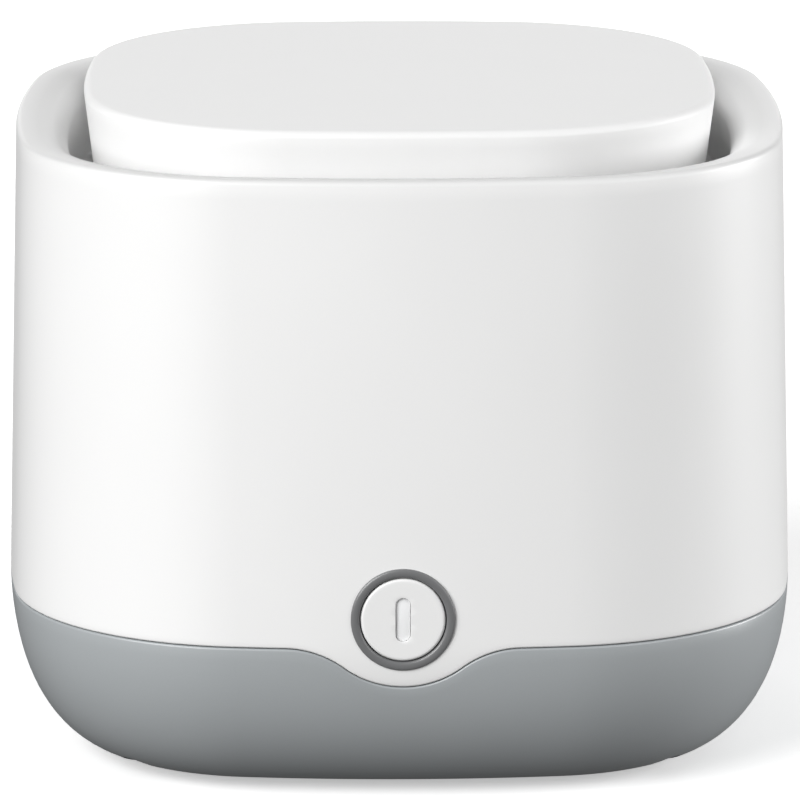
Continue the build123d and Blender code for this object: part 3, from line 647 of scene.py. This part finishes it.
def makeBaseShell():
    plan, foot, wall = bodyColumns, shell["foot"], shell["wall"]
    floorZ = foot + shell["floor"]
    seam = seamHeight(plan, shell["seamGap"])
    innerFloor = rowOf(plan, shell["round"] + wall, floorZ)
    rows = [shrunk(innerFloor, share) for share in (0.03, 0.5)]
    for t in turns(9):
        z = shell["seam"] - (shell["seam"] - floorZ) * math.cos(t)
        z = np.minimum(z, seam - base["lap"])
        rows.append(rowOf(plan, wallIn(z, wall, floorZ), z))
    rows.append(rowOf(plan, wallIn(seam, wall), seam))
    edge = shell["seamEdge"]
    for t in turns(4):
        z = seam - edge * (1 - math.cos(t))
        rows.append(rowOf(plan, wallIn(z, edge * (1 - math.sin(t))), z))
    start = np.arccos(np.clip((shell["seam"] - seam + edge) / (shell["seam"] - foot), 0, 1))
    for share in np.linspace(0, 1, 23)[1:]:
        z = shell["seam"] - (shell["seam"] - foot) * np.cos(start * (1 - share))
        rows.append(rowOf(plan, wallIn(z), z))
    bottom = rows[-1]
    rows += [shrunk(bottom, share) for share in base["bottomShares"]]
    piece = loftOf("baseShell", rows)
    centre, past = (0, 0, base["inletZ"]), base["past"]
    bossR = base["padR"] + base["bossWall"]
    profile = [(bossR, base["padY"] - wall), (bossR, base["bossTo"])]
    boss = turned("inletBoss", profile, "y", centre, 72, "pole")
    combine(boss, [underbody("trim", base["bossTrim"])], "INTERSECT")
    tubes = []
    for x, y in fourCorners(bodyPlan, base["screwIn"]):
        profile = [(base["tubeR"], floorZ - base["tubeSink"]), (base["tubeR"], base["jointZ"])]
        tube = turned("tube", profile, "z", (x, y, 0), 48, "pole")
        tubes.append(combine(tube, [underbody("trim", base["tubeTrim"], base["tubeSink"])], "INTERSECT"))
    combine(piece, [boss, *tubes], "UNION")
    cutters = []
    for x, y in fourCorners(bodyPlan, base["screwIn"]):
        well, shank = base["wellR"], base["shankR"]
        profile = [(well, -past), (well, base["seatZ"]), (shank, base["seatZ"]),
                   (shank, base["jointZ"] + past)]
        cutters.append(turned("well", profile, "z", (x, y, 0), 48, "pole"))
    for x, y in fourCorners(bodyPlan, base["footIn"]):
        radius, flare = base["footWellR"], base["footFlare"]
        profile = [(radius + flare, -past), (radius + flare, foot - tiny), (radius, foot + flare),
                   (radius, foot + base["footSeat"])]
        cutters.append(turned("footWell", profile, "z", (x, y, 0), 64, "pole"))
    profile = [(base["padR"], base["pastInlet"]), (base["padR"], base["padY"]),
               (base["noseR"], base["padY"]), (base["noseR"], base["noseTo"])]
    cutters.append(turned("inletCut", profile, "y", centre, 72, "pole"))
    combine(piece, cutters)
    return seat(piece, "housing", "base_grey", ["base_shell"])


makeBaseShell()
print("base shell made")

lid = {
    "top": 100.25, "foot": 82.2, "lean": 7.0, "edge": 1.3, "dome": 0.5, "wall": 2.0, "topWall": 2.2,
    "footEdge": 0.35, "roofEdge": 0.8, "postIn": 18.0, "postR": 2.5, "postLow": 85.2,
    "wallShares": (0.15, 0.4, 0.7, 0.9), "domeShares": (0.97, 0.9, 0.78, 0.62, 0.45, 0.28, 0.12, 0.03),
}


def lidIn(z, extra=0.0):
    return extra + (lid["top"] - z) * math.tan(math.radians(lid["lean"]))


# Domed cover of a loft, from its last row to near the middle
def capRows(row, rise):
    return [shrunk(row, share, row[0, 2] + rise * (1 - share ** 2)) for share in lid["domeShares"]]


def makeLid():
    plan, edge, foot = lidColumns, lid["edge"], lid["foot"]
    rimZ = lid["top"] - lid["dome"]
    roof = rimZ - lid["topWall"]
    ceiling = rowOf(plan, lidIn(roof, lid["wall"] + lid["roofEdge"]), roof)
    rows = capRows(ceiling, lid["dome"])[::-1] + [ceiling]
    for z in (roof - lid["roofEdge"], (roof + foot) / 2):
        rows.append(rowOf(plan, lidIn(z, lid["wall"]), z))
    small = lid["footEdge"]
    for t in turns(3):
        inset = lidIn(foot, lid["wall"] - small * (1 - math.cos(t)))
        rows.append(rowOf(plan, inset, foot + small * (1 - math.sin(t))))
    for t in turns(3):
        inset = lidIn(foot, small * (1 - math.sin(t)))
        rows.append(rowOf(plan, inset, foot + small * (1 - math.cos(t))))
    turnZ = rimZ - edge * (1 - math.sin(math.radians(lid["lean"])))
    for share in lid["wallShares"]:
        z = mixed(foot + small, turnZ, share)
        rows.append(rowOf(plan, lidIn(z), z))
    centreIn = lidIn(turnZ, edge * math.cos(math.radians(lid["lean"])))
    for t in turns(9, lid["lean"], 90):
        rows.append(rowOf(plan, centreIn - edge * math.cos(t), rimZ - edge * (1 - math.sin(t))))
    rows += capRows(rows[-1], lid["dome"])
    piece = loftOf("lidCover", rows)
    profile = [(lid["postR"], lid["postLow"]), (lid["postR"], lid["top"] - lid["topWall"])]
    posts = [turned("post", profile, "z", (x, y, 0), 40, "pole")
             for x, y in fourCorners(lidPlan, lid["postIn"])]
    combine(piece, posts, "UNION")
    return seat(piece, "lid", "lid_white", ["lid_cover"])


makeLid()

liner = {
    "low": 83.4, "thick": 1.8, "gap": 0.15, "skirtIn": 1.2, "skirtDeep": 5.6, "skirtWall": 1.6, "edge": 0.4,
    "cornerR": 0.8, "floorShare": 0.6, "middleShare": 0.02,
}


def makeLiner():
    plate = lidIn(lid["foot"], lid["wall"] + liner["gap"])
    low, high, edge = liner["low"], liner["low"] + liner["thick"], liner["edge"]
    tip, inner = low - liner["skirtDeep"], liner["skirtIn"] + liner["skirtWall"]
    corner, middle = rowOf(lidColumns, plate, high), liner["middleShare"]
    rows = [shrunk(corner, middle), corner, rowOf(lidColumns, plate, low + edge)]
    rows.append(rowOf(lidColumns, plate + edge, low))
    rows.append(rowOf(tankColumns, liner["skirtIn"] - edge, low))
    rows.append(rowOf(tankColumns, liner["skirtIn"], low - edge))
    for t in turns(4):
        inset = liner["skirtIn"] + edge * (1 - math.cos(t))
        rows.append(rowOf(tankColumns, inset, tip + edge * (1 - math.sin(t))))
    for t in turns(4):
        rows.append(rowOf(tankColumns, inner - edge * (1 - math.sin(t)), tip + edge * (1 - math.cos(t))))
    for t in turns(4):
        inset = inner + liner["cornerR"] * (1 - math.cos(t))
        rows.append(rowOf(tankColumns, inset, low - liner["cornerR"] * (1 - math.sin(t))))
    rows.append(shrunk(rows[-1], liner["floorShare"]))
    rows.append(shrunk(rows[-1], middle))
    piece = loftOf("lidLiner", rows)
    return seat(piece, "lid", "liner_white", ["lid_liner"])


makeLiner()
print("lid made")

ring = {
    "r": 7.7, "proud": 0.25, "flange": 1.0, "tubeR": 7.0, "boreR": 6.4, "back": -55.65,
    "crown": 0.4, "fullness": 0.7, "throat": 0.6,
}
cap = {
    "r": 6.25, "front": -60.05, "disc": 2.35, "flangeR": 7.4, "flangeFront": -55.55, "flangeBack": -54.55,
    "wall": 1.2, "stemR": 2.0, "stemBack": -53.35, "edge": 0.45, "soft": 0.12,
    "poleR": 0.12, "stemPoleR": 0.1, "faceShares": (0.2, 0.4, 0.6, 0.75, 0.88),
    "pillW": 2.1, "pillH": 6.6, "pillIn": 0.35, "pillGap": 0.06, "pillDeep": 2.0, "pillSoft": 0.15,
}


def makeRing():
    front, crown = button["face"] - ring["proud"], ring["crown"]
    profile = [(ring["tubeR"], front + ring["flange"]), (ring["tubeR"], ring["back"]),
               (ring["boreR"], ring["back"]), (ring["boreR"], front + ring["throat"])]
    middle, half = (ring["r"] + ring["boreR"]) / 2, (ring["r"] - ring["boreR"]) / 2
    for t in turns(14, 180, 0):
        rise = crown * math.sin(t) ** ring["fullness"]
        profile.append((middle + half * math.cos(t), front + crown - rise))
    profile.append((ring["r"], front + ring["flange"]))
    piece = turned("buttonRing", profile, "y", (0, 0, button["z"]), 128)
    return seat(piece, "housing", "ring_grey", ["button_ring"])


def makeCap():
    front, radius, edge = cap["front"], cap["r"], cap["edge"]
    discBack, inner = front + cap["disc"], cap["r"] - cap["wall"]
    profile = [(cap["poleR"], front)] + [(radius * share, front) for share in cap["faceShares"]]
    for t in turns(6):
        profile.append((radius - edge * (1 - math.sin(t)), front + edge * (1 - math.cos(t))))
    profile += [(radius, cap["flangeFront"]), (cap["flangeR"], cap["flangeFront"]),
                (cap["flangeR"], cap["flangeBack"]), (inner, cap["flangeBack"]), (inner, discBack),
                (cap["stemR"], discBack), (cap["stemR"], cap["stemBack"]),
                (cap["stemPoleR"], cap["stemBack"])]
    piece = turned("buttonCap", profile, "y", (0, 0, button["z"]), 96, "pole")
    outline = capsule(cap["pillH"] + 2 * cap["pillGap"], cap["pillW"] + 2 * cap["pillGap"], upright=True)
    cutter = prism("pillCut", outline, "y", front - 1, discBack - tiny, (0, 0, button["z"]))
    combine(piece, [cutter])
    softened(piece, cap["soft"], 60, 2)
    return seat(piece, "button", "shell_white", ["button_cap"])


def makeWindow():
    front = cap["front"] + cap["pillIn"]
    outline = capsule(cap["pillH"], cap["pillW"], upright=True)
    piece = prism("lightWindow", outline, "y", front, front + cap["pillDeep"], (0, 0, button["z"]))
    softened(piece, cap["pillSoft"], 50, 3)
    return seat(piece, "button", "light_pipe", ["light_pipe"])


makeRing()
makeCap()
makeWindow()
print("button made")

tank = {
    "top": 78.2, "floor": 36.2, "lean": 2.5, "bottomR": 7.0, "steel": 0.6, "flange": 6.0, "lip": 0.45,
    "lipIn": 0.4, "flangeEdge": 0.15, "underOut": 0.2, "levels": (50, 60, 70, 75),
    "floorShares": (0.02, 0.25, 0.5, 0.75, 0.92),
}


def tankIn(z):
    return (tank["top"] - z) * math.tan(math.radians(tank["lean"]))


def makeTank():
    plan, steel, floorZ, radius = tankColumns, tank["steel"], tank["floor"], tank["bottomR"]

    def bowlRows(out):
        low, turn = floorZ - out, radius + out
        corner = rowOf(plan, tankIn(low) + turn - out, low)
        made = [shrunk(corner, share) for share in tank["floorShares"]]
        for t in turns(12):
            z = low + turn * (1 - math.cos(t))
            made.append(rowOf(plan, tankIn(z) - out + turn * (1 - math.sin(t)), z))
        return made

    rows = bowlRows(0.0)
    top, lip, small, flange, edge = (tank[key] for key in ("top", "lip", "lipIn", "flange", "flangeEdge"))
    for z in (*tank["levels"], top - lip - small):
        rows.append(rowOf(plan, tankIn(z), z))
    for t in turns(5):
        rows.append(rowOf(plan, -lip * (1 - math.cos(t)), top - lip * (1 - math.sin(t))))
    rows.append(rowOf(plan, -flange + edge, top))
    rows.append(rowOf(plan, -flange, top - edge))
    rows.append(rowOf(plan, -flange, top - steel))
    rows.append(rowOf(plan, -steel - tank["underOut"], top - steel))
    rows.append(rowOf(plan, tankIn(top - steel - small) - steel, top - steel - small))
    rows += bowlRows(steel)[::-1]
    piece = loftOf("tankPan", rows)
    return seat(piece, "housing", "tank_steel", ["tank"], 30)


makeTank()
print("tank made")

basket = {
    "low": 38.7, "tall": 28.0, "wall": 1.6, "rimOut": 1.8, "rimThick": 1.6, "slotW": 3.0, "pitch": 6.6,
    "sideSlots": 6, "floorSlots": 8, "floorSlotL": 40.0, "slotLow": 45.3, "slotHigh": 62.6,
    "footR": 2.5, "footIn": 12.0, "gripW": 22.0, "gripH": 9.0, "gripT": 1.8,
    "gripHoleW": 13.0, "gripHoleH": 4.2, "gripR": 3.0, "gripSink": 3.0, "gripCut": 3.0, "edge": 0.35,
    "rimUnder": 0.4, "innerR": 1.2, "outerR": 2.0, "footEdge": 0.4, "footSink": 0.3, "soft": 0.3,
    "past": 50, "middleShare": 0.02, "floorShare": 0.5,
}


def makeBasket():
    plan, low, wall, edge = basketColumns, basket["low"], basket["wall"], basket["edge"]
    high, small, big = low + basket["tall"], basket["innerR"], basket["outerR"]
    inside = rowOf(plan, wall + small, low + wall)
    rows = [shrunk(inside, share) for share in (basket["middleShare"], basket["floorShare"])]
    for t in turns(5):
        rows.append(rowOf(plan, wall + small * (1 - math.sin(t)), low + wall + small * (1 - math.cos(t))))
    rows.append(rowOf(plan, wall, high - edge))
    rows += [rowOf(plan, wall - edge * 0.3, high - edge * 0.3), rowOf(plan, wall - edge, high)]
    out, thick, under = basket["rimOut"], basket["rimThick"], basket["rimUnder"]
    for t in turns(6, 90, -90):
        inset = -out + thick / 2 * (1 - math.cos(t))
        rows.append(rowOf(plan, inset, high - thick / 2 + thick / 2 * math.sin(t)))
    rows += [rowOf(plan, -under, high - thick), rowOf(plan, 0, high - thick - under)]
    for t in turns(6):
        rows.append(rowOf(plan, big * (1 - math.cos(t)), low + big * (1 - math.sin(t))))
    rows += [shrunk(rows[-1], basket["floorShare"]), shrunk(rows[-1], basket["middleShare"])]
    piece = loftOf("basketCage", rows)
    grips = []
    for side in (-1, 1):
        half, sink = basket["gripT"] / 2, basket["gripSink"]
        x, middle = side * (basketPlan["width"] / 2 - half), high + basket["gripH"] / 2
        outline = roundedBox(basket["gripW"], basket["gripH"] + sink, basket["gripR"])
        plate = prism("grip", outline, "x", x - half, x + half, (0, 0, middle - sink / 2))
        outline = capsule(basket["gripHoleW"], basket["gripHoleH"])
        hole = prism("gripHole", outline, "x", x - basket["gripCut"], x + basket["gripCut"], (0, 0, middle))
        grips.append(combine(plate, [hole]))
    combine(piece, grips, "UNION")
    tall = basket["slotHigh"] - basket["slotLow"]
    middle = (basket["slotHigh"] + basket["slotLow"]) / 2
    for axis in ("x", "y"):
        cutters = []
        for row in range(basket["sideSlots"]):
            along = (row - (basket["sideSlots"] - 1) / 2) * basket["pitch"]
            centre = (0, along, middle) if axis == "x" else (along, 0, middle)
            outline = capsule(tall, basket["slotW"], upright=True)
            cutters.append(prism("slot", outline, axis, -basket["past"], basket["past"], centre))
        combine(piece, cutters)
    cutters = []
    for row in range(basket["floorSlots"]):
        along = (row - (basket["floorSlots"] - 1) / 2) * basket["pitch"]
        outline = capsule(basket["floorSlotL"], basket["slotW"], upright=True)
        cutters.append(prism("floorSlot", outline, "z", low - 2, low + wall + 1, (along, 0, 0)))
    combine(piece, cutters)
    radius, small = basket["footR"], basket["footEdge"]
    profile = [(radius - small, tank["floor"]), (radius, tank["floor"] + small),
               (radius, low + basket["footSink"])]
    feet = [turned("foot", profile, "z", (x, y, 0), 32, "pole")
            for x, y in fourCorners(basketPlan, basket["footIn"])]
    combine(piece, feet, "UNION")
    softened(piece, basket["soft"], 55, 2)
    return seat(piece, "basket", "basket_white", ["basket"])


makeBasket()
print("basket made")

foot = {
    "r": 6.0, "top": 2.0, "edge": 0.6, "topEdge": 0.1, "poleR": 0.1,
    "grooveR": 3.6, "grooveW": 0.7, "grooveIn": 0.35,
}


def makeFeet():
    names = ("left_front", "left_rear", "right_front", "right_rear")
    for name, (x, y) in zip(names, fourCorners(bodyPlan, base["footIn"])):
        edge, groove, width, small = foot["edge"], foot["grooveR"], foot["grooveW"], foot["topEdge"]
        profile = [(foot["poleR"], 0), (groove - width, 0), (groove - width / 2, foot["grooveIn"]),
                   (groove + width / 2, foot["grooveIn"]), (groove + width, 0)]
        for t in turns(5, -90, 0):
            profile.append((foot["r"] - edge + edge * math.cos(t), edge + edge * math.sin(t)))
        profile += [(foot["r"], foot["top"] - small), (foot["r"] - small, foot["top"]),
                    (foot["poleR"], foot["top"])]
        piece = turned("footPad_" + name, profile, "z", (x, y, 0), 64, "pole")
        seat(piece, "housing", "foot_rubber", ["foot_" + name])


makeFeet()

inlet = {
    "z": base["inletZ"], "wallIn": 51.1, "face": 53.5, "tip": 56.0, "noseR": 3.9, "boreR": 2.85,
    "boreEnd": 47.0, "boreTo": 60.0, "tipEdge": 0.3, "boreEdge": 0.25, "poleR": 0.1, "skin": 0.5,
    "sink": 1.0, "block": 10.0, "blockLength": 12.0, "blockR": 1.0, "blockSoft": 0.3,
    "nutR": 5.6, "nutT": 2.0, "nutSoft": 0.25, "nutGap": 0.02, "nutCut": (40.0, 70.0),
    "thread": 0.5, "threadDeep": 0.22,
}


def makeInlet():
    centre, pitch = (0, 0, inlet["z"]), inlet["thread"]
    nose, tip, wallIn = inlet["noseR"], inlet["tip"], inlet["wallIn"]
    bore, end, edge, lip = inlet["boreR"], inlet["boreEnd"], inlet["tipEdge"], inlet["boreEdge"]
    profile = [(nose, wallIn - inlet["sink"]), (nose, wallIn)]
    along = inlet["face"] + inlet["nutT"]
    while along + pitch < tip - edge:
        profile += [(nose, along), (nose - inlet["threadDeep"], along + pitch / 2)]
        along += pitch
    inner, back, pole = nose - inlet["skin"], end - inlet["skin"], inlet["poleR"]
    profile += [(nose, tip - edge), (nose - edge, tip), (bore + lip, tip), (bore, tip - lip), (bore, end),
                (pole, end), (pole, back), (inner, back), (inner, wallIn - inlet["sink"])]
    piece = turned("inletNose", profile, "y", centre, 72)
    outline = roundedBox(inlet["block"], inlet["block"], inlet["blockR"])
    block = prism("inletBlock", outline, "y", wallIn - inlet["blockLength"], wallIn, centre)
    combine(block, [turned("inletBore", [(bore, end), (bore, inlet["boreTo"])], "y", centre, 72, "pole")])
    softened(block, inlet["blockSoft"], 60, 2)
    seat(block, "housing", "switch_black", ["inlet_body"])
    seat(piece, "housing", "switch_black")
    outline = [(inlet["nutR"] * math.cos(t), inlet["nutR"] * math.sin(t)) for t in turns(6, 0, 360)[:-1]]
    nut = prism("inletNut", outline, "y", inlet["face"], inlet["face"] + inlet["nutT"], centre)
    profile = [(nose + inlet["nutGap"], level) for level in inlet["nutCut"]]
    combine(nut, [turned("nutHole", profile, "y", centre, 72, "pole")])
    softened(nut, inlet["nutSoft"], 40, 2)
    seat(nut, "housing", "contact_metal", ["inlet_nut"])


makeInlet()
print("feet and inlet made")


# The CAD nodes that stay get the finish of their own material slot
def dressNodes():
    slots = {part["node"]: part["material_slot"] for part in frame["record"]["subparts"]}
    for name, node in nodes.items():
        node.data.materials.clear()
        node.data.materials.append(finishes[slots[name]])
        if not node.hide_render:
            node.data.shade_smooth()
            node.data.set_sharp_from_angle(angle=math.radians(30))


dressNodes()

studio = {
    "floor": (0.9, 0.9, 0.9), "floorSize": 6.0, "floorCloud": 3.0, "floorDark": 0.99, "floorGlow": 0.4,
    "floorRoughness": 0.7, "floorSheen": 0.1, "sky": (1.0, 1.0, 1.0), "skyStrength": 0.11, "aimZ": 0.05,
}
# Where each lamp stands: turn 0 is the front and plus is to the right, rise is over the floor
lamps = {
    "key": {"turn": -46, "rise": 28, "reach": 2.0, "size": 1.6, "power": 52.5},
    "side": {"turn": 50, "rise": 18, "reach": 2.0, "size": 1.3, "power": 10.0},
    "edge": {"turn": 100, "rise": 6, "reach": 2.0, "size": 1.3, "power": 46.0},
    "back": {"turn": 180, "rise": 15, "reach": 0.9, "size": 0.8, "power": 2.45},
}


def makeStudio():
    half = studio["floorSize"] / 2 / mm
    corners = [(-half, -half, 0), (half, -half, 0), (half, half, 0), (-half, half, 0)]
    floor = newMesh("floor", corners, [(0, 1, 2, 3)])
    finish = Finish("paleFloor")
    cloud = finish.noise(studio["floorCloud"], 3)
    colour = finish.blend(tinted(studio["floor"], studio["floorDark"]), studio["floor"], cloud)
    rough = studio["floorRoughness"] + cloud * studio["floorSheen"]
    finish.shade({"Base Color": colour, "Roughness": rough, "Emission Strength": studio["floorGlow"],
                  "Emission Color": paint(studio["sky"])})
    floor.data.materials.append(finish.material)
    # No light comes up from the ground, as in the photograph
    floor.visible_diffuse = floor.visible_glossy = False
    world = bpy.data.worlds.new("studio")
    bpy.context.scene.world = world
    world.use_nodes = True
    back = world.node_tree.nodes["Background"]
    back.inputs["Color"].default_value = (*studio["sky"], 1)
    back.inputs["Strength"].default_value = studio["skyStrength"]
    for name, look in lamps.items():
        data = bpy.data.lights.new(name, "AREA")
        data.shape, data.size, data.energy = "DISK", look["size"], look["power"]
        made = bpy.data.objects.new(name, data)
        turn, rise = math.radians(look["turn"]), math.radians(look["rise"])
        way = Vector((math.sin(turn) * math.cos(rise), -math.cos(turn) * math.cos(rise), math.sin(rise)))
        made.location = way * look["reach"] + Vector((0, 0, studio["aimZ"]))
        made.visible_camera = False
        made.rotation_euler = (-way).to_track_quat("-Z", "Y").to_euler()
        bpy.context.scene.collection.objects.link(made)


makeStudio()
bpy.context.scene.view_settings.view_transform = "Standard"
print("studio set")

bpy.context.view_layer.update()
